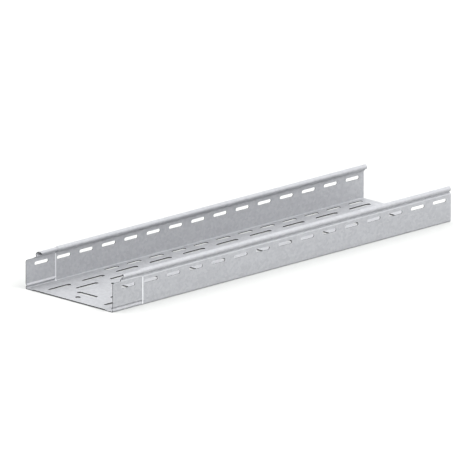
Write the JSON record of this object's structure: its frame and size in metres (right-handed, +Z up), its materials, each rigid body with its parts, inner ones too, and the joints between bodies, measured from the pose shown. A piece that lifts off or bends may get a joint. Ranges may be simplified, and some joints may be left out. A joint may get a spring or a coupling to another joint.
{
  "type": "cable tray",
  "caption": "Perforated sheet-steel cable tray: open channel with slotted walls and base, rolled safety edges and a reduced coupling end.",
  "frame": {"origin": "middle of the footprint, on the level that the tray's base strips stand on", "axes": "+X along the tray from the reduced coupling end to the full end, +Y across it, +Z up out of the open channel"},
  "size_m": [0.76, 0.197, 0.058],
  "materials": {
    "galvanised_steel": "satin zinc coating"
  },
  "bodies": {
    "root": {"cable_tray": "galvanised_steel"}
  },
  "joints": []
}
